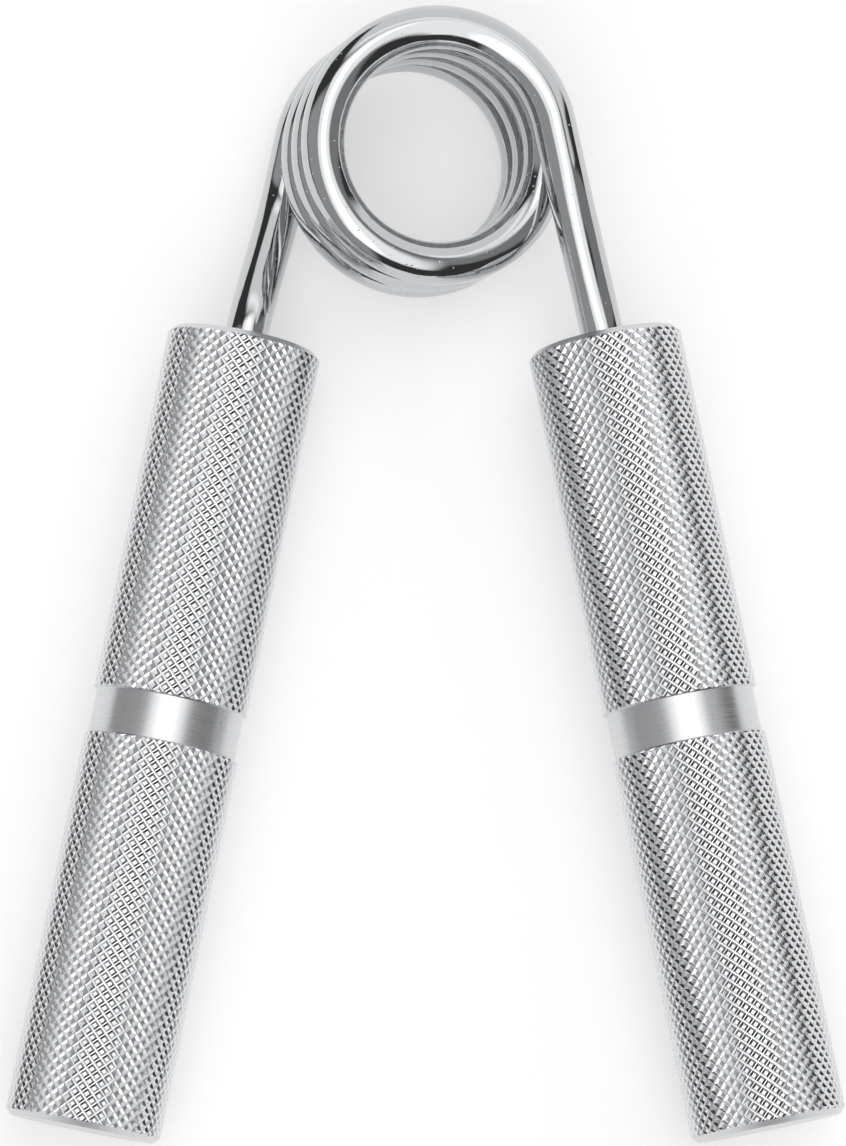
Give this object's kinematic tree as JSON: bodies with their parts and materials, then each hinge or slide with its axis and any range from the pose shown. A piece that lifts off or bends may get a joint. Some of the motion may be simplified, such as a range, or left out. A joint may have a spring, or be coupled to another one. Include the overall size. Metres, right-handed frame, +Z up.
{
  "type": "hand grip strengthener",
  "caption": "Sprung hand exerciser: knurled aluminium handles on the legs of a heavy chrome plated torsion spring, squeezed together in the hand and springing back.",
  "frame": {"origin": "centre of the underside: the middle of the box round the whole grip in X and Y, at the height of the table that it lies on", "axes": "+Z up, with the grip lying flat; +Y from the handle ends to the coil, along the grip's length; +X from the left handle to the right handle"},
  "size_m": [0.1196, 0.1642, 0.0306],
  "materials": {
    "knurled_aluminium": "bare turned aluminium, diamond knurled, with a plain turned band, satin",
    "chrome_spring": "bright chrome plate on polished spring steel wire"
  },
  "bodies": {
    "left_half": {"left_handle": "knurled_aluminium", "spring_left_leg": "chrome_spring", "spring_coil": "chrome_spring"},
    "right_half": {"right_handle": "knurled_aluminium", "spring_right_leg": "chrome_spring"}
  },
  "joints": [
    {"name": "squeeze", "type": "hinge", "parent": "left_half", "child": "right_half", "pos_m": [0, 0.06137, 0.0151], "axis": [0, 0.0274, -0.9996], "range_deg": [0, 29.3], "stiffness_Nm_per_rad": 43.4, "deforming": ["spring_coil"]}
  ]
}
